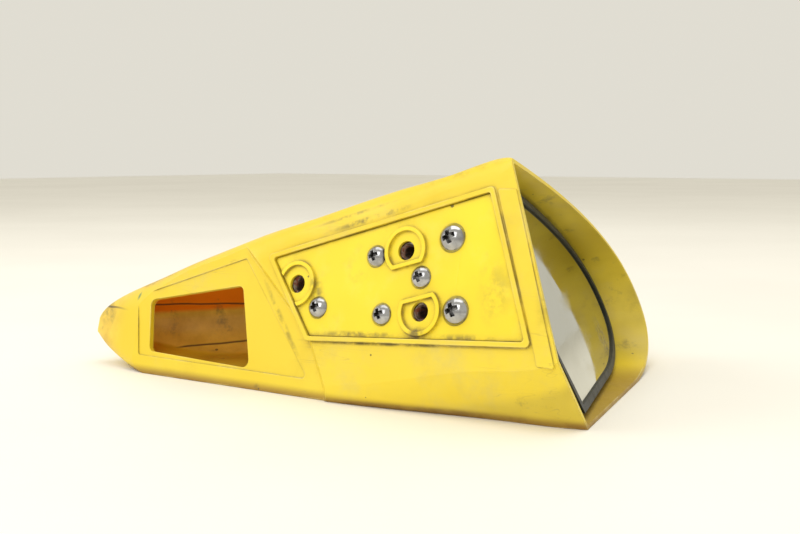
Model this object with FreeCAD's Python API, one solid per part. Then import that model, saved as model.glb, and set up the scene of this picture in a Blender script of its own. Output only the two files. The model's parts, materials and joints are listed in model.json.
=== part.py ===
import FreeCAD, Part
import os
from math import cos, sin, tan, radians, sqrt, pi

V = FreeCAD.Vector

# A side-mounted rear-view mirror. Millimetres. +X runs along the vehicle side towards the mirror opening,
# +Y away from the vehicle, +Z up. The housing stands on its flat underside.

# ---------------------------------------------------------------- driving dimensions
LENGTH = 264.0            # nose tip to the lower near corner of the mouth
LEAN = 14.9               # lean of the flat mounting side from the vertical, degrees
SIDE_Y = -18.2            # the mounting side meets the underside plane here
CENTRE_X = -131.7         # middle of the housing's box, which becomes the origin
CENTRE_Y = 67.05
WALL = 3.0                # shell thickness
UNDER_TRIM = 0.3          # the sections dip this far below the underside and are cut flat there
STATIONS = [0.6, 2.5, 7, 14, 25, 40, 58, 80, 105, 130, 160, 195, 230, LENGTH]   # sections, from the nose tip
HOLLOW_STATIONS = [14, 20, 30, 45, 62, 85, 110, 140, 170]
BLOCK = 500.0             # larger than the whole part, for the blocks that trim it
FACET_DEPTH = 3.0         # the nose facet lies this far inside the mounting side
RIM = 1.6                 # edge thickness of the mouth

MOUTH_SHEAR = (0.244, 0.364)      # how much the mouth leans back with Y and with Z
MOUTH_TOP = 99.7                  # height of the mouth's near upper corner
MOUTH_FAR = 151.0                 # reach of the mouth away from the vehicle
CHIN_Z = 26.2                     # height where the near edge kinks inwards

GLASS_AZ = 18.9                   # direction that the mirror faces, degrees from +X
GLASS_EL = 22.5                   # and upwards
GLASS_SET = -0.7                  # depth of the edging plane below the mouth at its lower near corner
GLASS_SINK = 2.1                  # the glass lies this far below that plane
GLASS_T = 2.2
EDGING_WALL = 2.0                 # rubber beyond the edge of the glass
EDGING_LIP = 2.6                  # width of the lip seen from the front
EDGING_PROUD = 1.0                # height of the lip above the glass
CARRIER_T = 2.8                   # backing plate of the glass
RIB_W = 1.8
RIB_H = 4.5
RIB_REACH = 26.0
EDGING_CLEARANCE = 2.5            # gap between the rubber edging and the recess wall
HEAD_POCKET = 15.0                # straight depth behind the edging plane for the tilting head
FLARE_START = -4.0                # the recess widens to the mouth from this far ahead of that plane

PLATE_T = 3.0                     # inset plate, and the same again as a rear pad
PLATE_GAP = 0.3
BEAD_W = 2.0                      # bead around the plate
BEAD_H = 1.3
BEAD_ROUND = (1.8, 1.2)           # its outer and inner corner radii
PANEL_DEPTH = 0.5                 # the flat around the nose window lies this far below the facet
LIP_RAISE = 0.5                   # raised strip along the mouth's near edge
PAD_ROUND = 3.0                   # corner radius of the plate's rear pad
WINDOW_ROUND = 3.0                # and of the nose window
BRACKET_T = 2.5

SCREW_SMALL = {"r": 2.5, "head_r": 4.75, "head_h": 3.1, "hex": 8.0, "nut_t": 4.0, "washer_r": 4.9}
SCREW_LARGE = {"r": 3.0, "head_r": 5.9, "head_h": 3.9, "hex": 10.0, "nut_t": 5.0, "washer_r": 5.9}
WASHER_T = 1.0
HOLE_PLAY = 0.2

INSERT_BORE = 2.5                 # minor radius of the M6 thread
INSERT_R = 3.9
INSERT_LOBE = 4.7                 # the rear pad reaches this far around each insert
INSERT_SINK = 1.4                 # the insert's face lies below the plate's face
INSERT_LENGTH = 9.0
RING_R = 8.9                      # middle radius of a D-shaped bead
RING_W = 1.7

BALL_R = 5.0
BALL_SET = 14.0                   # ball centre behind the edging plane
RING_BAND = 1.5                   # thickness of the friction ring
RING_HALF = 2.6                   # half its height
BALL_PLAY = 0.12
SOCKET_R = 13.5
COLLAR_T = 4.0
ARM_GAP = 8.0                     # ball centre to the bracket arm
STUD_R = 4.0
STUD_WASHER = (7.4, 1.6)          # radius and thickness
STUD_NUT = (13.0, 6.5)            # across flats and height
THREAD_PLAY = 0.03

# places on the mounting side: distance along X and distance up the slope
PLATE_CORNERS = [(-151.8, 59.1), (-43.5, 91.6), (-18.0, 31.0), (-123.7, 24.1)]
WINDOW_CORNERS = [(-223.4, 35.1), (-167.4, 45.4), (-156.0, 9.6), (-218.6, 11.4)]
PANEL_CORNERS = [(-232.0, 36.1), (-167.5, 57.6), (-122.5, 8.5), (-225.0, 9.0)]
LIP_CORNERS = [(-41.9, 90.5), (-33.7, 90.5), (-7.6, 24.2), (-14.9, 24.4), (-17.2, 30.6)]
FACET_EDGE = [(-176.5, 70.0), (-164.5, 58.8), (-127.6, 28.6), (-113.9, 6.2), (-110.0, -6.0)]
INSERTS = [(-133.6, 47.7), (-80.3, 64.6), (-69.6, 40.6)]
SMALL_SCREWS = [(-94.6, 61.5), (-87.7, 38.1), (-71.4, 54.2), (-120.6, 38.5)]
LARGE_SCREWS = [(-59.4, 70.6), (-53.2, 42.2)]
BRACKET_CORNERS = [(-143.0, 54.0), (-128.0, 30.5), (-46.0, 32.5), (-55.0, 79.5), (-68.0, 80.0)]

# ---------------------------------------------------------------- frames
SIN_L = sin(radians(LEAN))
COS_L = cos(radians(LEAN))
SIDE_OUT = V(0, -COS_L, SIN_L)
UP_SIDE = V(0, SIN_L, COS_L)

GLASS_OUT = V(cos(radians(GLASS_EL)) * cos(radians(GLASS_AZ)),
              cos(radians(GLASS_EL)) * sin(radians(GLASS_AZ)),
              sin(radians(GLASS_EL)))
GLASS_U = V(-GLASS_OUT.y, GLASS_OUT.x, 0).normalize()
GLASS_V = GLASS_OUT.cross(GLASS_U)
GLASS_SHEAR = (GLASS_OUT.y / GLASS_OUT.x, GLASS_OUT.z / GLASS_OUT.x)
GLASS_X0 = -GLASS_SET / GLASS_OUT.x
PIVOT_YZ = (62.0, 43.0)


def side_point(x, up, depth=0.0):
    """A point on the mounting side, or depth millimetres inside it."""
    return V(x, SIDE_Y, 0) + UP_SIDE * up - SIDE_OUT * depth


def side_y(z, depth):
    return SIDE_Y + (depth + z * SIN_L) / COS_L


def glass_x(y, z, ahead=0.0):
    """X of the glass plane, or of a plane ahead millimetres in front of it."""
    return GLASS_X0 + ahead / GLASS_OUT.x - GLASS_SHEAR[0] * y - GLASS_SHEAR[1] * z


PIVOT = V(glass_x(*PIVOT_YZ), *PIVOT_YZ) - GLASS_OUT * BALL_SET


# ---------------------------------------------------------------- housing sections
def bezier(*points):
    curve = Part.BezierCurve()
    curve.setPoles(list(points))
    return curve.toBSpline().toShape()


def blend(a, b, t):
    t = min(1.0, max(0.0, t))
    return a + (b - a) * t


def outline(s):
    """Closed section of the housing: near side, rounded top corner, top, far side, underside, chin."""
    x0, a, b = s["plane"]

    def at(y, z):
        return V(x0 - a * y - b * z, y, z)

    depth, top, low = s["depth"], s["top"], s["low"]
    far, waist = s["far"], s["waist"]
    corner = (side_y(top, depth), top)
    lead = (corner[0] + 0.55 * (far - corner[0]), waist + 0.74 * (top - waist))
    run = sqrt((lead[0] - corner[0]) ** 2 + (lead[1] - corner[1]) ** 2)
    r = s["round"]
    before = (corner[0] - r * SIN_L, top - r * COS_L)
    after = (corner[0] + r * (lead[0] - corner[0]) / run, top + r * (lead[1] - top) / run)
    chin = (side_y(s["chin"], depth), s["chin"])
    keel = (s["keel"], low)
    sharp = (side_y(low, depth), low)
    middle = ((chin[0] + keel[0]) / 2, (chin[1] + keel[1]) / 2)
    bend = (blend(sharp[0], middle[0], s["chamfer"]), blend(sharp[1], middle[1], s["chamfer"]))
    flat = (s["flat"], low)
    edges = [
        bezier(at(*chin), at(*before)),
        bezier(at(*before), at(*corner), at(*after)),
        bezier(at(*after), at(*lead), at(far, waist + 0.42 * (top - waist)), at(far, waist)),
        bezier(at(far, waist), at(far, low + 0.42 * (waist - low)),
               at(blend(flat[0], far, 0.62), low), at(*flat)),
        bezier(at(*flat), at(*keel)),
        bezier(at(*keel), at(*bend), at(*chin)),
    ]
    return Part.Wire(edges)


def shrink(s, e):
    """The same section with its outline moved inwards by e."""
    t = dict(s)
    t["depth"] = s["depth"] + e
    t["top"] = s["top"] - 1.34 * e
    t["far"] = s["far"] - e
    t["low"] = s["low"] + e
    t["round"] = max(0.8, s["round"] - 0.7 * e)
    t["chin"] = s["chin"] + 0.2 * e
    t["keel"] = s["keel"] + 1.1 * e
    t["flat"] = s["flat"] - 0.1 * e
    return t


def crest(x):
    """Height of the housing's upper near edge along its length."""
    if x < -222:
        return 15.4 + 4.46 * sqrt(max(0.0, x + LENGTH))
    if x < -100:
        return 44.3 + 0.3095 * (x + 222)
    return 82.06 + 0.285 * (x + 100)


def station(d):
    """Section of the housing d millimetres from the nose tip."""
    t = (d - 90) / (LENGTH - 90)
    lean = blend(0.0, 1.0, t)
    a, b = MOUTH_SHEAR[0] * lean, MOUTH_SHEAR[1] * lean
    x0 = d - LENGTH
    corner_round = blend(20.0, 11.0, (d - 95) / 25)
    if d > 200:
        corner_round = blend(11.0, 3.0, (d - 200) / (LENGTH - 200))
    depth = 10 * max(0.0, 1 - (d / 55) ** 0.8)
    low = 15.4 * max(0.0, 1 - (d / 42) ** 0.62) - UNDER_TRIM
    top = 50.0
    for _ in range(30):
        edge = crest(x0 - a * side_y(top, depth) - b * top)
        top = edge + blend(0.14, 0.34, (d - 20) / 80) * corner_round
    if d >= LENGTH:
        top = MOUTH_TOP
    height = top - low
    near = side_y(low, depth)
    width = (MOUTH_FAR - side_y(0, 0)) * (1 - (1 - min(1.0, d / LENGTH)) ** 1.7) ** 0.75
    corner_round = min(corner_round, 0.42 * height, 0.36 * width)
    mouthness = blend(0.0, 1.0, (d - 150) / (LENGTH - 150))
    rounding = min(2.5, 0.25 * height, 0.3 * width)
    chin = low + blend(min(6.0, 0.3 * height), CHIN_Z, mouthness)
    keel = blend(near + rounding, 0.0, mouthness)
    far = near + width
    return {
        "plane": (x0, a, b), "depth": depth, "top": top, "low": low, "round": corner_round,
        "far": far, "waist": low + blend(0.42, 0.245, (d - 40) / 160) * height,
        "flat": max(blend(near, far, 0.62), keel + 0.3 * (far - keel)), "chin": chin, "keel": keel,
        "chamfer": mouthness ** 0.8,
    }


def loft(sections, ruled=False):
    return Part.makeLoft([outline(s) for s in sections], True, ruled)


def head_outline(e, ahead):
    """Outline of the tilting head in a plane ahead of the glass plane, e millimetres inside the edging."""
    s = {
        "plane": (GLASS_X0 + ahead / GLASS_OUT.x, GLASS_SHEAR[0], GLASS_SHEAR[1]),
        "depth": 6.8, "top": 90.5, "low": 4.2, "round": 4.0, "far": 136.5, "waist": 24.5,
        "flat": 84.0, "chin": 27.5, "keel": 7.5, "chamfer": 1.0,
    }
    return shrink(s, e)


def head_slab(e, w_low, w_high):
    """A slab in the shape of the mirror glass between two planes parallel to it."""
    return loft([head_outline(e, w_low), head_outline(e, w_high)], True)


def side_prism(corners, low, high, radius=0.0):
    """A prism standing on the mounting side, from depth low to depth high, with rounded corners."""
    points = [side_point(x, up, low) for x, up in corners]
    edges = []
    count = len(points)
    if radius <= 0:
        wire = Part.makePolygon(points + [points[0]])
        return Part.Face(wire).extrude(-SIDE_OUT * (high - low))
    for i, p in enumerate(points):
        back = (points[i - 1] - p).normalize()
        on = (points[(i + 1) % count] - p).normalize()
        half = back.getAngle(on) / 2
        cut = radius / tan(half)
        start = p + back * cut
        end = p + on * cut
        axis = (back + on).normalize()
        middle = p + axis * (radius / sin(half) - radius)
        edges.append((start, middle, end))
    wire = []
    for i, (start, middle, end) in enumerate(edges):
        wire.append(Part.Arc(start, middle, end).toShape())
        wire.append(Part.LineSegment(end, edges[(i + 1) % count][0]).toShape())
    return Part.Face(Part.Wire(wire)).extrude(-SIDE_OUT * (high - low))


def inset(corners, e):
    """The polygon moved inwards by e; its corners run clockwise seen from the vehicle."""
    out = []
    count = len(corners)
    for i in range(count):
        p0, p1, p2 = corners[i - 1], corners[i], corners[(i + 1) % count]
        d1 = ((p1[0] - p0[0]), (p1[1] - p0[1]))
        d2 = ((p2[0] - p1[0]), (p2[1] - p1[1]))
        l1, l2 = sqrt(d1[0] ** 2 + d1[1] ** 2), sqrt(d2[0] ** 2 + d2[1] ** 2)
        n1 = (d1[1] / l1, -d1[0] / l1)
        n2 = (d2[1] / l2, -d2[0] / l2)
        k = e / (1 + n1[0] * n2[0] + n1[1] * n2[1])
        out.append((p1[0] + (n1[0] + n2[0]) * k, p1[1] + (n1[1] + n2[1]) * k))
    return out


def rod(place, r, low, high):
    """A cylinder square to the mounting side, from depth low to depth high."""
    start = side_point(place[0], place[1], low)
    return Part.makeCylinder(r, high - low, start, -SIDE_OUT)


def cone(place, r_low, r_high, low, high):
    start = side_point(place[0], place[1], low)
    return Part.makeCone(r_low, r_high, high - low, start, -SIDE_OUT)


def hexagon(centre, axis, across, length, bore):
    """A hexagonal nut with chamfered corners."""
    axis = V(axis).normalize()
    side = axis.cross(V(1, 0, 0))
    if side.Length < 0.1:
        side = axis.cross(V(0, 1, 0))
    side.normalize()
    other = axis.cross(side)
    reach = across / sqrt(3)
    points = [centre + side * (reach * cos(i * pi / 3)) + other * (reach * sin(i * pi / 3)) for i in range(7)]
    body = Part.Face(Part.makePolygon(points)).extrude(axis * length)
    limit = Part.makeCone(0.96 * reach + length * 1.2, 0.96 * reach, length * 1.2,
                          centre + axis * (-0.2 * length), axis)
    body = body.common(limit)
    return body.cut(Part.makeCylinder(bore, length, centre, axis))


# ---------------------------------------------------------------- housing
PAD = inset(PLATE_CORNERS, 8.0)
PAD[1] = (PAD[1][0] - 9.0, PAD[1][1] - 2.7)
PAD[2] = (PAD[2][0] - 12.0, PAD[2][1] - 0.8)


def outer_body():
    return loft([station(d) for d in STATIONS])


def inner_space():
    """The hollow of the shell, with the head's pocket and the flared recess of the mouth."""
    sections = []
    for d in HOLLOW_STATIONS:
        s = shrink(station(d), WALL)
        s["depth"] = max(s["depth"], FACET_DEPTH + WALL)
        s["keel"] = max(s["keel"], side_y(s["low"], s["depth"]) + 4)
        sections.append(s)
    hollow = loft(sections)
    throat = loft([sections[-1], head_outline(1.0 - EDGING_CLEARANCE, 2 - HEAD_POCKET)], True)
    mouth = shrink(station(LENGTH), RIM)
    ahead = dict(mouth)
    ahead["plane"] = (1.0, MOUTH_SHEAR[0], MOUTH_SHEAR[1])
    recess = loft([head_outline(-EDGING_CLEARANCE, -HEAD_POCKET), head_outline(-EDGING_CLEARANCE, FLARE_START),
                   mouth, ahead], True)
    return [hollow, throat, recess]


def facet_cut():
    """Lowers the nose side of the mounting side to a flat facet with a sloping step at its edge."""
    deep = [(-320, 120), (FACET_EDGE[0][0], 120)] + FACET_EDGE + [(FACET_EDGE[-1][0], -40), (-320, -40)]
    reach = FACET_DEPTH + 30
    lower = Part.makePolygon([side_point(x, up, FACET_DEPTH) for x, up in deep + deep[:1]])
    shift = 1.15 * reach
    wide = []
    for x, up in deep:
        wide.append((x + (shift if x > -300 else 0), up))
    upper = Part.makePolygon([side_point(x, up, -30) for x, up in wide + wide[:1]])
    return Part.makeLoft([lower, upper], True, True)


def make_housing():
    body = outer_body()
    body = body.common(Part.makeBox(BLOCK, BLOCK, BLOCK, V(-0.8 * BLOCK, -0.5 * BLOCK, 0)))
    body = body.cut(facet_cut())
    for space in inner_space():
        body = body.cut(space)
    body = body.cut(side_prism(PANEL_CORNERS, -8, FACET_DEPTH + PANEL_DEPTH, 1.5))
    bead = side_prism(PLATE_CORNERS, -BEAD_H, 1.0, BEAD_ROUND[0])
    bead = bead.cut(side_prism(inset(PLATE_CORNERS, BEAD_W), -BEAD_H - 1, 2.0, BEAD_ROUND[1]))
    body = body.fuse(bead).fuse(side_prism(LIP_CORNERS, -LIP_RAISE, 1.0, 0.8))
    recess = side_prism(inset(PLATE_CORNERS, BEAD_W), -BEAD_H - 1, PLATE_T, BEAD_ROUND[1])
    opening = side_prism(inset(PAD, -PLATE_GAP), 0, 20, PAD_ROUND)
    window = side_prism(WINDOW_CORNERS, -5, 14, WINDOW_ROUND)
    body = body.cut(recess).cut(opening).cut(window)
    return body.cut(side_prism(lobe(PLATE_GAP), 0, 20, 1.5))


def lobe(gap):
    """Corners of the block behind the front insert, square to the plate's front edge and gap larger."""
    (x0, up0), (x1, up1) = PLATE_CORNERS[0], PLATE_CORNERS[3]
    run = sqrt((x1 - x0) ** 2 + (up1 - up0) ** 2)
    along = ((x1 - x0) / run, (up1 - up0) / run)
    across = (-along[1], along[0])
    half = INSERT_LOBE + gap
    inner = 2.0 * INSERT_LOBE
    places = [(-half, -half), (inner, -half), (inner, half), (-half, half)]
    x, up = INSERTS[0]
    return [(x + along[0] * j + across[0] * i, up + along[1] * j + across[1] * i) for i, j in places]


def make_plate():
    face = side_prism(inset(PLATE_CORNERS, BEAD_W + PLATE_GAP), 0.0, PLATE_T, 1.0)
    pad = side_prism(PAD, PLATE_T - 0.5, 2 * PLATE_T, PAD_ROUND)
    plate = face.fuse(pad).fuse(side_prism(lobe(0.0), PLATE_T - 0.5, 2 * PLATE_T, 1.5))
    for place, turn in zip(INSERTS, (1, 2, 3)):
        plate = plate.fuse(d_bead(place, turn))
    for place in INSERTS:
        plate = plate.cut(rod(place, INSERT_R, -2, 2 * PLATE_T + 1))
    for place in SMALL_SCREWS:
        plate = plate.cut(rod(place, SCREW_SMALL["r"] + HOLE_PLAY, -2, 2 * PLATE_T + 1))
    for place in LARGE_SCREWS:
        plate = plate.cut(rod(place, SCREW_LARGE["r"] + HOLE_PLAY, -2, 2 * PLATE_T + 1))
    return plate


def d_bead(place, turn):
    """A raised ring around an insert, cut flat on one side: left, below or above."""
    ring = rod(place, RING_R + RING_W / 2, -BEAD_H, 1.0)
    ring = ring.cut(rod(place, RING_R - RING_W / 2, -BEAD_H - 1, 2.0))
    x, up = place
    reach = 2 * RING_R
    if turn == 1:
        keep = inset(PLATE_CORNERS, BEAD_W + PLATE_GAP + 0.6)
        return ring.common(side_prism(keep, -BEAD_H - 1, 2.0))
    slope = (PLATE_CORNERS[1][1] - PLATE_CORNERS[0][1]) / (PLATE_CORNERS[1][0] - PLATE_CORNERS[0][0])
    flat_up = -0.68 * RING_R if turn == 2 else 0.62 * RING_R
    w = RING_W / 2

    def line(dx, dup):
        return (x + dx, up + flat_up + dup + slope * dx)

    if turn == 2:
        half = [line(-reach, -w), line(-reach, 2 * reach), line(reach, 2 * reach), line(reach, -w)]
    else:
        half = [line(-reach, -2 * reach), line(-reach, w), line(reach, w), line(reach, -2 * reach)]
    ring = ring.common(side_prism(half, -BEAD_H - 1, 2.0))
    bar = side_prism([line(-reach, -w), line(-reach, w), line(reach, w), line(reach, -w)], -BEAD_H, 1.0)
    bar = bar.common(rod(place, RING_R + w, -BEAD_H - 1, 2.0))
    return ring.fuse(bar)


# ---------------------------------------------------------------- fasteners
def make_inserts():
    parts = []
    for place in INSERTS:
        end = INSERT_SINK + INSERT_LENGTH
        body = rod(place, INSERT_R, INSERT_SINK, end)
        body = body.cut(rod(place, INSERT_BORE, INSERT_SINK - 1, end + 1))
        body = body.cut(cone(place, INSERT_R - 0.7, INSERT_BORE, INSERT_SINK, INSERT_SINK + 1.4))
        parts.append(body)
    return Part.makeCompound(parts)


def pan_screw(place, kind, length):
    """A pan-head screw with a cross recess, its head on the plate's face."""
    r, head_r, head_h = kind["r"], kind["head_r"], kind["head_h"]
    dome = (head_r ** 2 + head_h ** 2) / (2 * head_h)
    centre = side_point(place[0], place[1], dome - head_h)
    head = Part.makeSphere(dome, centre).common(rod(place, head_r, -head_h - 1, 0))
    shank = rod(place, r, -0.5, length - 1).fuse(cone(place, r, r - 0.9, length - 1, length))
    screw = head.fuse(shank)
    slot_w, slot_l = 0.2 * head_r, 0.62 * head_r
    for turn in (25, 115):
        along = V(1, 0, 0) * cos(radians(turn)) + UP_SIDE * sin(radians(turn))
        across = SIDE_OUT.cross(along)
        top = side_point(place[0], place[1], -head_h - 0.5)
        deep = side_point(place[0], place[1], -0.35 * head_h)
        wires = []
        for middle, w, reach in ((top, slot_w, slot_l), (deep, 0.5 * slot_w, 0.45 * slot_l)):
            ring = [middle + along * (i * reach) + across * (j * w)
                    for i, j in ((-1, -1), (1, -1), (1, 1), (-1, 1), (-1, -1))]
            wires.append(Part.makePolygon(ring))
        screw = screw.cut(Part.makeLoft(wires, True, True))
    return screw


def screws(places, kind):
    stack = 2 * PLATE_T + BRACKET_T + WASHER_T + kind["nut_t"]
    return Part.makeCompound([pan_screw(p, kind, stack + 2.0) for p in places])


def washers(places, kind):
    start = 2 * PLATE_T + BRACKET_T
    parts = []
    for p in places:
        disc = rod(p, kind["washer_r"], start, start + WASHER_T)
        parts.append(disc.cut(rod(p, kind["r"] + HOLE_PLAY, start - 1, start + WASHER_T + 1)))
    return Part.makeCompound(parts)


def nuts(places, kind):
    start = 2 * PLATE_T + BRACKET_T + WASHER_T
    parts = []
    for p in places:
        parts.append(hexagon(side_point(p[0], p[1], start), -SIDE_OUT, kind["hex"], kind["nut_t"],
                             kind["r"] + THREAD_PLAY))
    return Part.makeCompound(parts)


# ---------------------------------------------------------------- bracket and ball stud
def head_point(u, v, w):
    """A point in the tilting head's own axes, measured from the ball centre."""
    return PIVOT + GLASS_U * u + GLASS_V * v + GLASS_OUT * w


def head_rod(r, w_low, w_high, u=0.0, v=0.0):
    return Part.makeCylinder(r, w_high - w_low, head_point(u, v, w_low), GLASS_OUT)


def make_bracket():
    """Steel plate behind the mount plate, with an arm bent across the housing to the ball stud."""
    start = 2 * PLATE_T
    plate = side_prism(BRACKET_CORNERS, start, start + BRACKET_T, 5.0)
    for place in INSERTS:
        plate = plate.cut(rod(place, INSERT_R + HOLE_PLAY, start - 1, start + BRACKET_T + 1))
    for places, kind in ((SMALL_SCREWS, SCREW_SMALL), (LARGE_SCREWS, SCREW_LARGE)):
        for place in places:
            plate = plate.cut(rod(place, kind["r"] + HOLE_PLAY, start - 1, start + BRACKET_T + 1))
    # arm outline in head axes: narrow at the bend, round around the stud
    root_low, root_high, root_u = 5.5, 19.0, -95.0
    corners = [(root_u, root_low), (root_u, root_high), (-30, 17), (-6, 13.5), (13, 11),
               (15, 0), (11, -12), (-8, -12.5), (-32, -4)]
    points = [head_point(u, v, -ARM_GAP) for u, v in corners]
    arm = Part.Face(Part.makePolygon(points + points[:1])).extrude(-GLASS_OUT * BRACKET_T)
    block = side_prism([(-200, -60), (-200, 200), (100, 200), (100, -60)], start - 80, start)
    arm = arm.cut(block)
    return plate.fuse(arm).cut(stud_hole(-ARM_GAP - BRACKET_T - 1, -ARM_GAP + 1)).removeSplitter()


def stud_hole(w_low, w_high):
    return head_rod(STUD_R + HOLE_PLAY, w_low, w_high)


def make_ball_stud():
    ball = Part.makeSphere(BALL_R, PIVOT)
    neck = head_rod(2.6, -ARM_GAP + 1.5, -3)
    flange = head_rod(5.6, -ARM_GAP, -ARM_GAP + 1.6)
    shank = head_rod(STUD_R, -ARM_GAP - 12.0, -ARM_GAP + 0.5)
    return ball.fuse(neck).fuse(flange).fuse(shank)


def make_stud_washer():
    r, thickness = STUD_WASHER
    low = -ARM_GAP - BRACKET_T - thickness
    return head_rod(r, low, low + thickness).cut(stud_hole(low - 1, low + thickness + 1))


def make_stud_nut():
    across, height = STUD_NUT
    low = -ARM_GAP - BRACKET_T - STUD_WASHER[1]
    return hexagon(head_point(0, 0, low), -GLASS_OUT, across, height, STUD_R + THREAD_PLAY)


# ---------------------------------------------------------------- tilting head
RING_IN = BALL_R + BALL_PLAY
RING_OUT = RING_IN + RING_BAND
SOCKET_IN = RING_OUT + BALL_PLAY
COLLAR_SCREW_R = 10.4


def ring_arc(r, half_height):
    """Arc of radius r about the ball centre, in a plane through the head's axis."""
    side = sqrt(r * r - half_height * half_height)
    ends = [head_point(side, 0, -half_height), head_point(r, 0, 0), head_point(side, 0, half_height)]
    return ends, Part.Arc(*ends).toShape()


def make_friction_ring():
    """Spherical ring that grips the ball and seats in the socket."""
    inner_ends, inner = ring_arc(RING_IN, RING_HALF)
    outer_ends, outer = ring_arc(RING_OUT, RING_HALF)
    rear = Part.LineSegment(inner_ends[0], outer_ends[0]).toShape()
    front = Part.LineSegment(outer_ends[2], inner_ends[2]).toShape()
    profile = Part.Face(Part.Wire([inner, rear, outer, front]))
    return profile.revolve(PIVOT, GLASS_OUT, 360)


def collar_places():
    return [(COLLAR_SCREW_R * cos(radians(t)), COLLAR_SCREW_R * sin(radians(t))) for t in (90, 210, 330)]


def make_carrier():
    """Backing plate of the glass, with the front half of the ball socket on its back."""
    front = -GLASS_SINK - GLASS_T
    back = BALL_SET + front - CARRIER_T
    plate = head_slab(EDGING_WALL, front - CARRIER_T, front)
    plate = plate.cut(head_slab(9.0, front - 1.0, front + 1))
    socket = head_rod(SOCKET_R, 0.0, back + 0.5)
    for turn in range(0, 360, 60):
        rib = Part.makeBox(RIB_REACH, RIB_W, RIB_H, V(0, -RIB_W / 2, 0))
        rib.rotate(V(0, 0, 0), V(0, 0, 1), turn)
        rib = rib.common(Part.makeCone(SOCKET_R + 14, SOCKET_R - 2, RIB_H))
        rib.Placement = head_placement(back - RIB_H + 0.2)
        socket = socket.fuse(rib)
    plate = plate.fuse(socket).cut(Part.makeSphere(SOCKET_IN, PIVOT))
    for u, v in collar_places():
        plate = plate.cut(head_rod(1.25, -1, 4.5, u, v))
    return plate


def head_placement(w):
    """Placement whose +Z runs along the head's outward axis."""
    z = GLASS_OUT
    x = GLASS_U
    y = z.cross(x)
    m = FreeCAD.Matrix(x.x, y.x, z.x, 0, x.y, y.y, z.y, 0, x.z, y.z, z.z, 0, 0, 0, 0, 1)
    place = FreeCAD.Placement(m)
    place.Base = head_point(0, 0, w)
    return place


def make_collar():
    """Rear half of the ball socket."""
    collar = head_rod(SOCKET_R, -COLLAR_T, 0.0).cut(Part.makeSphere(SOCKET_IN, PIVOT))
    for u, v in collar_places():
        collar = collar.cut(head_rod(1.4, -COLLAR_T - 1, 1, u, v))
    return collar


def make_collar_screws():
    parts = []
    for u, v in collar_places():
        head = head_rod(2.3, -COLLAR_T - 1.3, -COLLAR_T, u, v)
        parts.append(head.fuse(head_rod(1.2, -COLLAR_T - 0.2, 4.0, u, v)))
    return Part.makeCompound(parts)


def make_pad():
    front = -GLASS_SINK - GLASS_T
    return head_slab(9.4, front - 0.95, front - 0.05)


def make_glass():
    return head_slab(EDGING_WALL, -GLASS_SINK - GLASS_T, -GLASS_SINK)


def make_edging():
    """Rubber channel that wraps the edges of the glass and its backing plate."""
    rear = -GLASS_SINK - GLASS_T - CARRIER_T
    ring = head_slab(0.0, rear - 1.0, EDGING_PROUD - GLASS_SINK)
    ring = ring.cut(head_slab(EDGING_WALL, rear, -GLASS_SINK))
    ring = ring.cut(head_slab(EDGING_LIP, -GLASS_SINK - 1.0, 2.0))
    return ring.cut(head_slab(EDGING_LIP + 2.0, rear - 3.0, rear + 2.0))


# ---------------------------------------------------------------- export
PARTS = {
    "housing_shell": make_housing(),
    "mount_plate": make_plate(),
    "threaded_inserts": make_inserts(),
    "small_screws": screws(SMALL_SCREWS, SCREW_SMALL),
    "large_screws": screws(LARGE_SCREWS, SCREW_LARGE),
    "small_washers": washers(SMALL_SCREWS, SCREW_SMALL),
    "large_washers": washers(LARGE_SCREWS, SCREW_LARGE),
    "small_nuts": nuts(SMALL_SCREWS, SCREW_SMALL),
    "large_nuts": nuts(LARGE_SCREWS, SCREW_LARGE),
    "support_bracket": make_bracket(),
    "ball_stud": make_ball_stud(),
    "stud_washer": make_stud_washer(),
    "stud_nut": make_stud_nut(),
    "friction_ring": make_friction_ring(),
    "mirror_carrier": make_carrier(),
    "socket_collar": make_collar(),
    "collar_screws": make_collar_screws(),
    "adhesive_pad": make_pad(),
    "mirror_glass": make_glass(),
    "glass_edging": make_edging(),
}

os.makedirs("parts", exist_ok=True)
ORIGIN = V(CENTRE_X, CENTRE_Y, 0)
box = FreeCAD.BoundBox()
for name, shape in PARTS.items():
    shape.translate(-ORIGIN)
    box.add(shape.BoundBox)
    print(name, len(shape.Solids), "solids", round(shape.Volume), "mm3", shape.isValid(), shape.BoundBox)
    shape.exportStep("parts/" + name + ".step")
print("box", box)
print("pivot", PIVOT - ORIGIN, "pan axis", GLASS_V, "tilt axis", GLASS_U, "glass faces", GLASS_OUT)
for place in INSERTS:
    print("insert", side_point(place[0], place[1], INSERT_SINK + 1.4 + 3) - ORIGIN, "axis", SIDE_OUT)
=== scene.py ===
import json
from math import radians

import bpy
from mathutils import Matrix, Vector


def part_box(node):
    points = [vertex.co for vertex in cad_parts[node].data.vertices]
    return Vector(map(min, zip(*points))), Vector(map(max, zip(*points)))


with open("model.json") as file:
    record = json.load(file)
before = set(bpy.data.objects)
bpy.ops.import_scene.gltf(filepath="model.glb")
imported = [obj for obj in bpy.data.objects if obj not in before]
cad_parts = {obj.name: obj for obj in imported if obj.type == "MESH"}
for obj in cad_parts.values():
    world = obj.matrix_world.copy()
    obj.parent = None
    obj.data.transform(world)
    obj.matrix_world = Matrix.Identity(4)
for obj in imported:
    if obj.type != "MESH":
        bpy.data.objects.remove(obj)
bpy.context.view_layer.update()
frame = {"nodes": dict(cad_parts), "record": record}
nodes = frame["nodes"]

# A side mirror's moulded housing, mounting plate, fasteners and tilting glass, given their finishes, with
# painted shade, shadow, glow and reflection where the comments say so.
# Metres. +X runs towards the mirror opening, -Y is the side that faces the vehicle.

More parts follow.
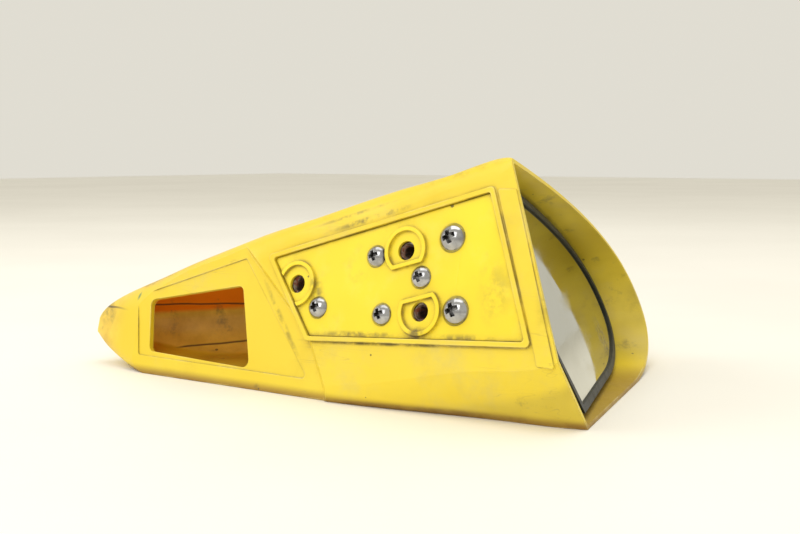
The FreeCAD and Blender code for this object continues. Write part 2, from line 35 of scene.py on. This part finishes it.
YELLOW_BODY = (0.77, 0.56, 0.018, 1)
YELLOW_BODY_PALE = (0.81, 0.62, 0.040, 1)
YELLOW_BODY_DEEP = (0.66, 0.45, 0.012, 1)
YELLOW_PLATE = (0.91, 0.73, 0.020, 1)
YELLOW_PLATE_DEEP = (0.84, 0.64, 0.016, 1)
# painted shade: the lip inside the mouth, the nose's inside and its roof get these darker, warmer tones
LIP_SHADE_OLIVE = (0.56, 0.42, 0.035, 1)
INSIDE_SHADE_OCHRE = (0.62, 0.40, 0.045, 1)
INSIDE_SHADE_OCHRE_PALE = (0.85, 0.60, 0.08, 1)
ROOF_SHADE_AMBER = (0.85, 0.22, 0.003, 1)
# dirt colour, also used for the painted crease shade on the nose's inner wall
DIRT_AND_CREASE_SHADE = (0.075, 0.055, 0.022, 1)
DUST = (0.42, 0.37, 0.24, 1)
BARE_PLASTIC = (0.93, 0.80, 0.30, 1)
STAINLESS = (0.50, 0.50, 0.50, 1)
# painted shade in the recesses of the steel parts
RECESS_SHADE_DARK = (0.02, 0.018, 0.016, 1)
GREASE = (0.16, 0.12, 0.04, 1)
# painted shade in the housing's corners and recesses
CORNER_SHADE_BROWN = (0.20, 0.13, 0.02, 1)
# painted shadow along the housing's edge at the table
CONTACT_SHADOW_BROWN = (0.24, 0.11, 0.012, 1)

# Heights and depths where a finish changes, each from its start to its end.
SHELL_DEPTH = (0.0055, 0.009)       # depth behind the mounting side where the inside begins
NOSE_END = (0.030, 0.012)           # the nose's inside fades out along X here
ROOF_START = (0.020, 0.024)         # the nose's roof, painted amber as shade, is above this
CONTACT_SHADOW_FADE = (0.0045, 0.0004)       # painted shadow: the housing's edge just above the table darkens
GLOW_FADE = (0.004, 0.040)
UPPER_CREASE = 0.0285                 # painted crease shade: dark lines along the creases of the nose's inner wall
LOWER_CREASE = 0.0235
LOWER_CREASE_SLOPE = 0.16
CREASE_SHADE_EDGE = (0.0007, 0.0002)
MOULD_LINE = (0.74, 0.5)            # faint line across the plate, as shares of its length and height
MOULD_LINE_LOW = (0.040, 0.042)
MOULD_LINE_HIGH = (0.066, 0.064)
INSIDE_GLOW = 0.12                  # painted glow: emission standing in for light that comes through the thin walls of the nose


# ---------------------------------------------------------------- places on the object
plate_low, plate_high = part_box("mount_plate")
shell_low, shell_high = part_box("housing_shell")
mounts = {m["name"]: m for m in frame["record"]["mounts"]}
side_out = Vector(mounts["mounting_side"]["axis"]).normalized()
side_at = Vector(mounts["mounting_side"]["pos_m"])


def on_the_side(along, up):
    """A point on the mounting side, as shares of the plate's length and height."""
    x = plate_low[0] + along * (plate_high[0] - plate_low[0])
    z = plate_low[2] + up * (plate_high[2] - plate_low[2])
    y = side_at.y - (z - side_at.z) * side_out.z / side_out.y
    return (x, y, z)


# Dirt in known places: centre, reach each way, rise along X, strength. The slopes follow the plate's edges.
TOP_EDGE = 0.30
BOTTOM_EDGE = 0.06
FRONT_EDGE = -1.2
HOUSING_STAINS = [
    (on_the_side(0.38, 0.82), (0.026, 0.010, 0.0020), TOP_EDGE, 0.85),
    (on_the_side(0.30, 0.84), (0.030, 0.010, 0.0012), TOP_EDGE, 0.5),
    (on_the_side(0.70, 1.14), (0.030, 0.020, 0.004), TOP_EDGE, 0.25),
    (on_the_side(1.06, 0.50), (0.006, 0.010, 0.030), 0.0, 0.35),
    (on_the_side(0.50, 0.012), (0.060, 0.010, 0.0012), BOTTOM_EDGE, 0.8),
    (on_the_side(0.00, 0.20), (0.030, 0.010, 0.0030), FRONT_EDGE, 0.6),
    (on_the_side(-0.02, -0.38), (0.0030, 0.008, 0.0022), 0.0, 0.9),
    ((shell_high[0] - 0.006, shell_low[1] + 0.075, 0.006), (0.020, 0.030, 0.006), 0.0, 0.7),
    ((shell_high[0] - 0.040, shell_high[1] - 0.010, 0.030), (0.018, 0.022, 0.016), 0.0, 0.4),
    ((shell_low[0] + 0.006, shell_low[1] + 0.020, 0.026), (0.012, 0.020, 0.010), 0.0, 0.5),
    ((shell_low[0] + 0.040, shell_low[1] + 0.030, 0.044), (0.040, 0.024, 0.006), TOP_EDGE, 0.45),
]
PLATE_STAINS = [
    (on_the_side(0.10, 0.66), (0.016, 0.008, 0.006), TOP_EDGE, 0.75),
    (on_the_side(0.42, 0.80), (0.022, 0.008, 0.0035), TOP_EDGE, 0.5),
    (on_the_side(0.62, 0.10), (0.006, 0.008, 0.0045), 0.0, 0.85),
    (on_the_side(0.80, 0.09), (0.022, 0.008, 0.0030), BOTTOM_EDGE, 0.8),
    (on_the_side(0.40, 0.055), (0.030, 0.008, 0.0020), BOTTOM_EDGE, 0.8),
    (on_the_side(0.20, 0.30), (0.006, 0.008, 0.010), FRONT_EDGE, 0.7),
    (on_the_side(0.88, 0.42), (0.010, 0.008, 0.020), 0.0, 0.3),
]
GREEN_CHIP = (shell_low[0] + 0.0305, shell_low[1] + 0.012, 0.0345)
glass_low, glass_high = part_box("mirror_glass")
glass_run = glass_high[0] - glass_low[0]
GLASS_SPOT = (glass_low[0] + 0.36 * glass_run, glass_high[1] - 0.030, glass_low[2] + 0.012)


# ---------------------------------------------------------------- node helpers
class Board:
    """Places and joins the nodes of one tree."""

    def __init__(self, tree):
        self.tree = tree
        self.step = 0

    def add(self, kind, **values):
        node = self.tree.nodes.new(kind)
        node.location = (180 * (self.step % 12), -220 * (self.step // 12))
        self.step += 1
        for key, value in values.items():
            setattr(node, key, value)
        return node

    def join(self, source, target):
        self.tree.links.new(source, target)

    def put(self, value, socket):
        """Sets a socket to a number or joins another socket to it."""
        if isinstance(value, bpy.types.NodeSocket):
            self.join(value, socket)
        else:
            socket.default_value = value

    def math(self, operation, a, b=0.0, clamp=False):
        node = self.add("ShaderNodeMath", operation=operation, use_clamp=clamp)
        self.put(a, node.inputs[0])
        self.put(b, node.inputs[1])
        return node.outputs[0]

    def vector(self, operation, a, b):
        node = self.add("ShaderNodeVectorMath", operation=operation)
        self.put(a, node.inputs[0])
        self.put(b, node.inputs[1])
        return node.outputs["Value" if operation in ("LENGTH", "DOT_PRODUCT") else "Vector"]

    def ramp(self, value, low, high, to_low=0.0, to_high=1.0):
        """Maps low..high smoothly to to_low..to_high."""
        node = self.add("ShaderNodeMapRange", interpolation_type="SMOOTHSTEP")
        self.put(value, node.inputs["Value"])
        self.put(low, node.inputs["From Min"])
        self.put(high, node.inputs["From Max"])
        self.put(to_low, node.inputs["To Min"])
        self.put(to_high, node.inputs["To Max"])
        return node.outputs["Result"]

    def mix(self, share, a, b):
        node = self.add("ShaderNodeMix", data_type="RGBA")
        self.put(share, node.inputs[0])
        self.put(a, node.inputs[6])
        self.put(b, node.inputs[7])
        return node.outputs[2]

    def place(self):
        return self.add("ShaderNodeTexCoord").outputs["Object"]

    def noise(self, scale, detail=3.0, rough=0.55, stretch=None):
        where = self.place()
        if stretch is not None:
            where = self.vector("MULTIPLY", where, stretch)
        node = self.add("ShaderNodeTexNoise")
        self.put(where, node.inputs["Vector"])
        self.put(scale, node.inputs["Scale"])
        self.put(detail, node.inputs["Detail"])
        self.put(rough, node.inputs["Roughness"])
        return node.outputs["Fac"]

    def group(self, tree, **values):
        node = self.add("ShaderNodeGroup")
        node.node_tree = tree
        for key, value in values.items():
            self.put(value, node.inputs[key.replace("_", " ").capitalize()])
        return node.outputs[0]


def new_group(name, inputs, output):
    """A shader group with named number or vector inputs and one output."""
    tree = bpy.data.node_groups.new(name, "ShaderNodeTree")
    for label, start in inputs:
        kind = "NodeSocketVector" if isinstance(start, tuple) else "NodeSocketFloat"
        socket = tree.interface.new_socket(name=label, in_out="INPUT", socket_type=kind)
        socket.default_value = start
    tree.interface.new_socket(name=output, in_out="OUTPUT", socket_type="NodeSocketFloat")
    board = Board(tree)
    given = board.add("NodeGroupInput")
    result = board.add("NodeGroupOutput")
    return tree, board, given.outputs, result.inputs[0]


# ---------------------------------------------------------------- shared effects
def make_worn_edges():
    tree, b, given, out = new_group("worn edges", [("Radius", 0.0008), ("Patches", 60.0)], "Mask")
    bevel = b.add("ShaderNodeBevel", samples=4)
    b.join(given["Radius"], bevel.inputs["Radius"])
    flat = b.add("ShaderNodeNewGeometry").outputs["Normal"]
    turn = b.math("SUBTRACT", 1.0, b.vector("DOT_PRODUCT", bevel.outputs[0], flat))
    edge = b.ramp(turn, 0.015, 0.12)
    patch = b.ramp(b.noise(given["Patches"], 4.0), 0.42, 0.62)
    b.join(b.math("MULTIPLY", edge, patch), out)
    return tree


# painted shade: darkens corners, creases and recesses found by ambient occlusion, in broken patches
def make_painted_corner_shade():
    tree, b, given, out = new_group(
        "painted corner shade", [("Reach", 0.004), ("Patches", 80.0), ("Amount", 1.0)], "Mask")
    shade = b.add("ShaderNodeAmbientOcclusion", samples=8)
    b.join(given["Reach"], shade.inputs["Distance"])
    hidden = b.ramp(shade.outputs["AO"], 0.93, 0.52)
    patch = b.ramp(b.noise(given["Patches"], 5.0, 0.62), 0.36, 0.62, 0.25, 1.0)
    b.join(b.math("MULTIPLY", b.math("MULTIPLY", hidden, patch), given["Amount"], clamp=True), out)
    return tree


def make_specks():
    tree, b, given, out = new_group("specks", [("Scale", 260.0), ("Share", 0.05), ("Size", 0.2)], "Mask")
    cells = b.add("ShaderNodeTexVoronoi")
    b.join(b.place(), cells.inputs["Vector"])
    b.join(given["Scale"], cells.inputs["Scale"])
    chosen = b.add("ShaderNodeSeparateColor")
    b.join(cells.outputs["Color"], chosen.inputs[0])
    kept = b.math("LESS_THAN", chosen.outputs[0], given["Share"])
    size = b.math("MULTIPLY", given["Size"], b.math("ADD", chosen.outputs[1], 0.35))
    dot = b.math("LESS_THAN", cells.outputs["Distance"], size)
    b.join(b.math("MULTIPLY", kept, dot), out)
    return tree


def make_scuffs():
    tree, b, given, out = new_group(
        "scuffs", [("Stretch", (9.0, 170.0, 170.0)), ("Patches", 22.0), ("Width", 0.012)], "Mask")
    line = b.noise(1.0, 2.0, 0.5, stretch=given["Stretch"])
    off = b.math("ABSOLUTE", b.math("SUBTRACT", line, 0.5))
    thin = b.ramp(off, given["Width"], 0.0)
    patch = b.ramp(b.noise(given["Patches"], 2.0), 0.52, 0.66)
    b.join(b.math("MULTIPLY", thin, patch), out)
    return tree


def make_moulded_grain():
    tree, b, given, out = new_group("moulded grain", [("Scale", 900.0), ("Waviness", 0.4)], "Height")
    fine = b.noise(given["Scale"], 3.0, 0.6)
    broad = b.noise(45.0, 2.0, 0.5)
    b.join(b.math("ADD", b.math("MULTIPLY", fine, 0.5), b.math("MULTIPLY", broad, given["Waviness"])), out)
    return tree


def make_stain():
    tree, b, given, out = new_group(
        "stain",
        [("Centre", (0.0, 0.0, 0.0)), ("Reach", (0.01, 0.01, 0.01)), ("Slope", 0.0), ("Patches", 160.0)],
        "Mask")
    away = b.vector("SUBTRACT", b.place(), given["Centre"])
    parts = b.add("ShaderNodeSeparateXYZ")
    b.join(away, parts.inputs[0])
    level = b.add("ShaderNodeCombineXYZ")
    b.join(parts.outputs[0], level.inputs[0])
    b.join(parts.outputs[1], level.inputs[1])
    rise = b.math("MULTIPLY", parts.outputs[0], given["Slope"])
    b.join(b.math("SUBTRACT", parts.outputs[2], rise), level.inputs[2])
    share = b.vector("DIVIDE", level.outputs[0], given["Reach"])
    near = b.ramp(b.vector("LENGTH", share, (0, 0, 0)), 1.0, 0.15)
    patch = b.ramp(b.noise(given["Patches"], 5.0, 0.65), 0.36, 0.60)
    b.join(b.math("MULTIPLY", near, patch), out)
    return tree


def make_fine_scratches():
    tree, b, given, out = new_group("fine scratches", [("Scale", 1.0)], "Height")
    where = b.vector("MULTIPLY", b.place(), (3000.0, 400.0, 900.0))
    lines = b.add("ShaderNodeTexNoise")
    b.join(where, lines.inputs["Vector"])
    b.join(given["Scale"], lines.inputs["Scale"])
    b.join(lines.outputs["Fac"], out)
    return tree


WORN_EDGES = make_worn_edges()
PAINTED_CORNER_SHADE = make_painted_corner_shade()
SPECKS = make_specks()
SCUFFS = make_scuffs()
MOULDED_GRAIN = make_moulded_grain()
STAIN = make_stain()
FINE_SCRATCHES = make_fine_scratches()


# ---------------------------------------------------------------- materials
def new_material(name):
    m = bpy.data.materials.new(name)
    m.use_nodes = True
    board = Board(m.node_tree)
    shader = m.node_tree.nodes["Principled BSDF"]
    return m, board, shader


def finish_surface(b, shader, height, strength, distance, soft=0.0004):
    """Rounds the edges a little and raises the grain on them."""
    bump = b.add("ShaderNodeBump")
    bump.inputs["Strength"].default_value = strength
    bump.inputs["Distance"].default_value = distance
    b.join(height, bump.inputs["Height"])
    if soft:
        bevel = b.add("ShaderNodeBevel", samples=4)
        bevel.inputs["Radius"].default_value = soft
        b.join(bevel.outputs[0], bump.inputs["Normal"])
    b.join(bump.outputs[0], shader.inputs["Normal"])


def behind_the_side(b):
    """Distance of a surface point behind the mounting side."""
    away = b.vector("SUBTRACT", b.place(), tuple(side_at))
    return b.vector("DOT_PRODUCT", away, tuple(-side_out))


def facing(b, direction):
    flat = b.add("ShaderNodeNewGeometry").outputs["Normal"]
    return b.vector("DOT_PRODUCT", flat, direction)


def yellow_housing():
    m, b, shader = new_material("yellow housing")
    tone = b.mix(b.ramp(b.noise(9.0, 3.0), 0.35, 0.68), YELLOW_BODY, YELLOW_BODY_PALE)
    tone = b.mix(b.math("MULTIPLY", b.ramp(b.noise(38.0, 4.0, 0.6), 0.5, 0.75), 0.35), tone, YELLOW_BODY_DEEP)

    # the inside surfaces are told by their depth behind the mounting side and by the way they face, and get
    # painted shade in ochre, amber and olive
    deep = b.ramp(behind_the_side(b), *SHELL_DEPTH)
    inward = b.ramp(facing(b, (0.0, -1.0, 0.0)), 0.12, 0.32)
    where = b.add("ShaderNodeSeparateXYZ")
    b.join(b.place(), where.inputs[0])
    nose = b.ramp(where.outputs[0], *NOSE_END)
    height = where.outputs[2]
    far_wall = b.math("MULTIPLY", b.math("MULTIPLY", deep, inward), nose)
    roof = b.math("MULTIPLY", b.math("MULTIPLY", deep, b.ramp(facing(b, (0.0, 0.0, -1.0)), 0.20, 0.45)), nose)
    under = b.ramp(height, *ROOF_START)
    roof = b.math("MULTIPLY", roof, under)
    lip = b.math("MULTIPLY", b.math("MULTIPLY", deep, inward), b.math("SUBTRACT", 1.0, nose))
    # painted shade: ochre on the nose's far wall, amber on its downward-facing roof, olive on the lip inside
    # the mouth
    cloud = b.ramp(b.noise(55.0, 5.0, 0.6), 0.3, 0.7)
    inside = b.mix(cloud, INSIDE_SHADE_OCHRE, INSIDE_SHADE_OCHRE_PALE)
    tone = b.mix(far_wall, tone, inside)
    tone = b.mix(roof, tone, ROOF_SHADE_AMBER)
    lip_shade_tone = b.mix(b.ramp(b.noise(30.0, 3.0), 0.3, 0.72), LIP_SHADE_OLIVE, (0.74, 0.58, 0.060, 1))
    tone = b.mix(b.math("MULTIPLY", lip, 0.9), tone, lip_shade_tone)

    # painted shade: two dark lines where the nose's inner wall creases
    crease_shade_wave = b.math("MULTIPLY", b.noise(26.0, 2.0), 0.004)
    level = b.math("ADD", height, crease_shade_wave)
    upper_crease_shade = b.ramp(b.math("ABSOLUTE", b.math("SUBTRACT", level, UPPER_CREASE)), *CREASE_SHADE_EDGE)
    slope = b.math("ADD", level, b.math("MULTIPLY", where.outputs[0], -LOWER_CREASE_SLOPE))
    lower_crease_shade = b.ramp(b.math("ABSOLUTE", b.math("SUBTRACT", slope, LOWER_CREASE)), *CREASE_SHADE_EDGE)
    crease_shade = b.math("MULTIPLY", b.math("ADD", upper_crease_shade, lower_crease_shade, clamp=True), far_wall)
    tone = b.mix(b.math("MULTIPLY", crease_shade, 0.85), tone, DIRT_AND_CREASE_SHADE)
    inner = b.math("ADD", far_wall, lip, clamp=True)
    smear = b.math("MULTIPLY", b.ramp(b.noise(70.0, 6.0, 0.7), 0.56, 0.72), inner)
    tone = b.mix(b.math("MULTIPLY", smear, 0.55), tone, GREASE)

    # painted shade: brown darkening in the housing's corners and recesses
    shade_in_corners = b.group(PAINTED_CORNER_SHADE, reach=0.0035, patches=75.0, amount=0.9)
    outside = b.math("SUBTRACT", 1.0, b.math("ADD", far_wall, roof, clamp=True))
    tone = b.mix(b.math("MULTIPLY", shade_in_corners, b.math("MULTIPLY", outside, 0.8)), tone, CORNER_SHADE_BROWN)
    film = b.math("MULTIPLY", b.ramp(b.noise(16.0, 6.0, 0.68), 0.52, 0.74), 0.30)
    tone = b.mix(b.math("MULTIPLY", film, outside), tone, DUST)
    # painted shadow: the housing darkens towards the table
    contact_shadow = b.math("MULTIPLY", b.ramp(height, *CONTACT_SHADOW_FADE), b.math("MULTIPLY", outside, 0.8))
    tone = b.mix(contact_shadow, tone, CONTACT_SHADOW_BROWN)
    wear = b.group(WORN_EDGES, radius=0.0010, patches=55.0)
    tone = b.mix(b.math("MULTIPLY", wear, 0.55), tone, BARE_PLASTIC)
    marks = b.group(SCUFFS, patches=24.0, width=0.005)
    tone = b.mix(b.math("MULTIPLY", marks, 0.30), tone, (0.30, 0.22, 0.06, 1))
    dots = b.group(SPECKS, scale=240.0, share=0.035, size=0.17)
    tone = b.mix(b.math("MULTIPLY", dots, 0.75), tone, DIRT_AND_CREASE_SHADE)
    for centre, reach, slope, strength in HOUSING_STAINS:
        spot = b.group(STAIN, centre=centre, reach=reach, slope=slope)
        tone = b.mix(b.math("MULTIPLY", spot, strength), tone, DIRT_AND_CREASE_SHADE)
    paint = b.group(STAIN, centre=GREEN_CHIP, reach=(0.0016, 0.004, 0.0034), patches=90.0)
    tone = b.mix(paint, tone, (0.10, 0.24, 0.10, 1))
    b.join(tone, shader.inputs["Base Color"])

    # painted glow: the inside of the nose gives off light of its own colour
    nose_inside = b.math("ADD", far_wall, roof, clamp=True)
    glow = b.math("MULTIPLY", nose_inside, b.ramp(height, *GLOW_FADE, 0.6, 1.0))
    b.join(b.mix(glow, (0, 0, 0, 1), tone), shader.inputs["Emission Color"])
    shader.inputs["Emission Strength"].default_value = INSIDE_GLOW
    rough = b.ramp(b.noise(60.0, 4.0), 0.3, 0.7, 0.34, 0.5)
    rough = b.math("ADD", rough, b.math("MULTIPLY", shade_in_corners, 0.3), clamp=True)
    b.join(rough, shader.inputs["Roughness"])
    grain = b.group(MOULDED_GRAIN, scale=700.0, waviness=1.2)
    height_all = b.math("SUBTRACT", grain, b.math("MULTIPLY", marks, 0.9))
    finish_surface(b, shader, height_all, 0.12, 0.0006, soft=0.0006)
    shader.inputs["Specular IOR Level"].default_value = 0.45
    return m


def yellow_plate():
    m, b, shader = new_material("yellow plate")
    tone = b.mix(b.ramp(b.noise(14.0, 3.0), 0.35, 0.7), YELLOW_PLATE, YELLOW_PLATE_DEEP)
    fade = b.math("MULTIPLY", b.ramp(b.noise(70.0, 5.0, 0.62), 0.5, 0.75), 0.22)
    tone = b.mix(fade, tone, (0.90, 0.74, 0.16, 1))
    # painted shade: brown darkening in the plate's corners and recesses
    shade_in_corners = b.group(PAINTED_CORNER_SHADE, reach=0.0042, patches=95.0, amount=1.0)
    tone = b.mix(b.math("MULTIPLY", shade_in_corners, 0.85), tone, (0.22, 0.14, 0.025, 1))
    film = b.math("MULTIPLY", b.ramp(b.noise(34.0, 6.0, 0.7), 0.57, 0.76), 0.3)
    tone = b.mix(film, tone, (0.30, 0.22, 0.06, 1))
    for centre, reach, slope, strength in PLATE_STAINS:
        spot = b.group(STAIN, centre=centre, reach=reach, slope=slope)
        tone = b.mix(b.math("MULTIPLY", spot, strength), tone, (0.14, 0.10, 0.03, 1))
    where = b.add("ShaderNodeSeparateXYZ")
    b.join(b.place(), where.inputs[0])
    away = b.math("ABSOLUTE", b.math("SUBTRACT", where.outputs[0], on_the_side(*MOULD_LINE)[0]))
    line = b.ramp(away, 0.0004, 0.0001)
    low_end = b.ramp(where.outputs[2], *MOULD_LINE_LOW)
    high_end = b.ramp(where.outputs[2], *MOULD_LINE_HIGH)
    span = b.math("MULTIPLY", low_end, high_end)
    mould_line = b.math("MULTIPLY", line, span)
    tone = b.mix(b.math("MULTIPLY", mould_line, 0.3), tone, YELLOW_PLATE_DEEP)
    dots = b.group(SPECKS, scale=300.0, share=0.03, size=0.2)
    tone = b.mix(b.math("MULTIPLY", dots, 0.8), tone, DIRT_AND_CREASE_SHADE)
    b.join(tone, shader.inputs["Base Color"])
    b.join(b.ramp(b.noise(50.0, 4.0), 0.3, 0.7, 0.30, 0.46), shader.inputs["Roughness"])
    grain = b.group(MOULDED_GRAIN, scale=800.0, waviness=0.8)
    height = b.math("ADD", grain, b.math("MULTIPLY", mould_line, 1.5))
    finish_surface(b, shader, height, 0.10, 0.0005, soft=0.0005)
    return m


def steel(name, colour, dull, shine, recess_shade_amount, reach):
    """Bare or plated steel with fine scratches and painted shade in its recesses."""
    m, b, shader = new_material(name)
    cloud = b.ramp(b.noise(260.0, 4.0, 0.6), 0.3, 0.72)
    tone = b.mix(cloud, colour, dull)
    # painted shade: near-black darkening in the recesses of the steel
    shade_in_corners = b.group(PAINTED_CORNER_SHADE, reach=reach, patches=300.0, amount=1.4)
    tone = b.mix(b.math("MULTIPLY", shade_in_corners, recess_shade_amount, clamp=True), tone, RECESS_SHADE_DARK)
    b.join(tone, shader.inputs["Base Color"])
    b.join(b.ramp(shade_in_corners, 0.1, 0.6, 1.0, 0.35), shader.inputs["Metallic"])
    b.join(b.ramp(cloud, 0.0, 1.0, shine, shine + 0.16), shader.inputs["Roughness"])
    finish_surface(b, shader, b.group(FINE_SCRATCHES, scale=1.0), 0.10, 0.00008, soft=0.00025)
    return m


def insert_with_painted_reflection():
    m, b, shader = new_material("insert with painted red reflection")
    # painted reflection: dark red patches stand in for the red-yellow housing reflected in the insert's metal
    red_reflection = b.ramp(b.noise(420.0, 5.0, 0.65), 0.44, 0.62)
    tone = b.mix(red_reflection, (0.42, 0.38, 0.34, 1), (0.20, 0.045, 0.018, 1))
    # painted shade: dark brown in the insert's recesses
    shade_in_corners = b.group(PAINTED_CORNER_SHADE, reach=0.003, patches=400.0, amount=1.2)
    tone = b.mix(shade_in_corners, tone, (0.035, 0.012, 0.008, 1))
    b.join(tone, shader.inputs["Base Color"])
    b.join(b.ramp(red_reflection, 0.0, 1.0, 0.95, 0.25), shader.inputs["Metallic"])
    b.join(b.ramp(red_reflection, 0.0, 1.0, 0.28, 0.7), shader.inputs["Roughness"])
    finish_surface(b, shader, b.group(MOULDED_GRAIN, scale=1500.0, waviness=0.2), 0.3, 0.0003, soft=0.0002)
    return m


def black_moulding(name, colour, dust, low, high, grain):
    """Black plastic, rubber or coated steel with a dusty film."""
    m, b, shader = new_material(name)
    cloud = b.ramp(b.noise(85.0, 5.0, 0.62), 0.42, 0.74)
    tone = b.mix(b.math("MULTIPLY", cloud, dust), colour, DUST)
    wear = b.group(WORN_EDGES, radius=0.0005, patches=120.0)
    tone = b.mix(b.math("MULTIPLY", wear, 0.3), tone, (0.16, 0.16, 0.15, 1))
    b.join(tone, shader.inputs["Base Color"])
    b.join(b.ramp(cloud, 0.0, 1.0, low, high), shader.inputs["Roughness"])
    finish_surface(b, shader, b.group(MOULDED_GRAIN, scale=grain, waviness=0.3), 0.25, 0.0004, soft=0.0005)
    return m


def mirror_face():
    m, b, shader = new_material("mirror face")
    haze = b.ramp(b.noise(22.0, 5.0, 0.6), 0.45, 0.75)
    # painted reflection: the mirror's tint is dimmed and turned grey-green so that what it reflects comes out
    # as a dull grey-green wall
    tone = b.mix(b.math("MULTIPLY", haze, 0.35), (0.47, 0.47, 0.385, 1), (0.38, 0.375, 0.29, 1))
    dots = b.group(SPECKS, scale=420.0, share=0.05, size=0.14)
    spoiled = b.group(STAIN, centre=GLASS_SPOT, reach=(0.010, 0.016, 0.013), patches=420.0)
    spoiled = b.math("ADD", b.math("MULTIPLY", spoiled, 0.9), b.math("MULTIPLY", dots, 0.5), clamp=True)
    tone = b.mix(spoiled, tone, (0.05, 0.045, 0.03, 1))
    b.join(tone, shader.inputs["Base Color"])
    b.join(b.ramp(spoiled, 0.0, 1.0, 1.0, 0.1), shader.inputs["Metallic"])
    streak = b.ramp(b.noise(1.0, 3.0, 0.5, stretch=(60.0, 14.0, 90.0)), 0.5, 0.8)
    rough = b.math("ADD", b.math("MULTIPLY", haze, 0.09), b.math("MULTIPLY", streak, 0.08))
    b.join(b.math("ADD", rough, 0.025), shader.inputs["Roughness"])
    return m


def foam_tape():
    m, b, shader = new_material("foam tape")
    cells = b.add("ShaderNodeTexVoronoi")
    b.join(b.place(), cells.inputs["Vector"])
    cells.inputs["Scale"].default_value = 1800.0
    pore = b.ramp(cells.outputs["Distance"], 0.1, 0.5)
    b.join(b.mix(pore, (0.05, 0.05, 0.05, 1), (0.14, 0.14, 0.135, 1)), shader.inputs["Base Color"])
    b.join(b.ramp(pore, 0.0, 1.0, 0.95, 0.8), shader.inputs["Roughness"])
    finish_surface(b, shader, pore, 0.4, 0.0003, soft=0.0)
    return m


def nylon_ring():
    m, b, shader = new_material("nylon ring")
    cloud = b.ramp(b.noise(300.0, 4.0), 0.3, 0.7)
    tone = b.mix(cloud, (0.74, 0.71, 0.60, 1), (0.60, 0.55, 0.42, 1))
    # painted shade: brown darkening in the ring's corners
    ring_recess_shade = b.group(PAINTED_CORNER_SHADE, reach=0.002, patches=500.0, amount=1.0)
    b.join(b.mix(ring_recess_shade, tone, (0.12, 0.10, 0.07, 1)), shader.inputs["Base Color"])
    b.join(b.ramp(cloud, 0.0, 1.0, 0.3, 0.45), shader.inputs["Roughness"])
    finish_surface(b, shader, b.group(MOULDED_GRAIN, scale=1200.0, waviness=0.2), 0.15, 0.0002, soft=0.0002)
    return m


ZINC = steel("zinc plating", (0.60, 0.60, 0.58, 1), (0.46, 0.46, 0.44, 1), 0.26, 0.7, 0.002)
POLISHED = steel("polished screw steel", STAINLESS, (0.30, 0.30, 0.31, 1), 0.10, 1.0, 0.0022)
BLACK_PLASTIC = black_moulding("black plastic", (0.022, 0.022, 0.024, 1), 0.10, 0.38, 0.6, 900.0)

FINISHES = {
    "housing_shell": yellow_housing(),
    "mount_plate": yellow_plate(),
    "threaded_inserts": insert_with_painted_reflection(),
    "small_screws": POLISHED,
    "large_screws": POLISHED,
    "small_washers": ZINC,
    "large_washers": ZINC,
    "small_nuts": ZINC,
    "large_nuts": ZINC,
    "support_bracket": black_moulding(
        "coated bracket steel", (0.028, 0.028, 0.03, 1), 0.16, 0.3, 0.55, 500.0),
    "ball_stud": ZINC,
    "stud_washer": ZINC,
    "stud_nut": ZINC,
    "friction_ring": nylon_ring(),
    "mirror_carrier": BLACK_PLASTIC,
    "socket_collar": BLACK_PLASTIC,
    "collar_screws": ZINC,
    "adhesive_pad": foam_tape(),
    "mirror_glass": mirror_face(),
    "glass_edging": black_moulding("edging rubber", (0.020, 0.024, 0.021, 1), 0.09, 0.5, 0.75, 1100.0),
}


def dress(node, material):
    mesh = nodes[node].data
    mesh.materials.clear()
    mesh.materials.append(material)


for name, material in FINISHES.items():
    dress(name, material)


# ---------------------------------------------------------------- studio
CAMERA_AT = (0.3237, -0.45705, 0.1005)
CAMERA_TURN = 35.34
CAMERA_DIP = 5.38
LENS = 53.55


def look_from_the_vehicle_side():
    camera = bpy.data.objects.new("camera", bpy.data.cameras.new("camera"))
    bpy.context.scene.collection.objects.link(camera)
    camera.location = CAMERA_AT
    camera.rotation_euler = (radians(90 - CAMERA_DIP), 0, radians(CAMERA_TURN))
    camera.data.lens = LENS
    camera.data.sensor_width = 36
    camera.data.clip_start = 0.01
    camera.data.clip_end = 20
    bpy.context.scene.camera = camera


def plain_floor():
    bpy.ops.mesh.primitive_plane_add(size=8, location=(0, 0.5, -0.0001))
    floor = bpy.context.object
    floor.name = "floor"
    m, b, shader = new_material("pale floor")
    cloud = b.ramp(b.noise(3.0, 4.0), 0.3, 0.7)
    b.join(b.mix(cloud, (0.90, 0.87, 0.79, 1), (0.86, 0.83, 0.75, 1)), shader.inputs["Base Color"])
    shader.inputs["Roughness"].default_value = 0.55
    floor.data.materials.append(m)


def soft_light(name, at, aim, size, power):
    lamp = bpy.data.objects.new(name, bpy.data.lights.new(name, "AREA"))
    bpy.context.scene.collection.objects.link(lamp)
    lamp.location = at
    lamp.rotation_euler = (Vector(aim) - Vector(at)).to_track_quat("-Z", "Y").to_euler()
    lamp.data.size = size
    lamp.data.energy = power


look_from_the_vehicle_side()
plain_floor()
soft_light("key", (0.35, -1.1, 0.95), (0, 0, 0.04), 0.9, 6.5)
soft_light("side", (-0.9, -0.7, 0.8), (0, 0, 0.04), 0.8, 4)
soft_light("top", (-0.1, 0.3, 1.6), (0, 0, 0.04), 1.4, 10)
world = bpy.data.worlds.new("studio")
world.use_nodes = True
world.node_tree.nodes["Background"].inputs["Color"].default_value = (1, 0.965, 0.86, 1)
world.node_tree.nodes["Background"].inputs["Strength"].default_value = 0.75
bpy.context.scene.world = world
bpy.context.scene.view_settings.view_transform = "Standard"
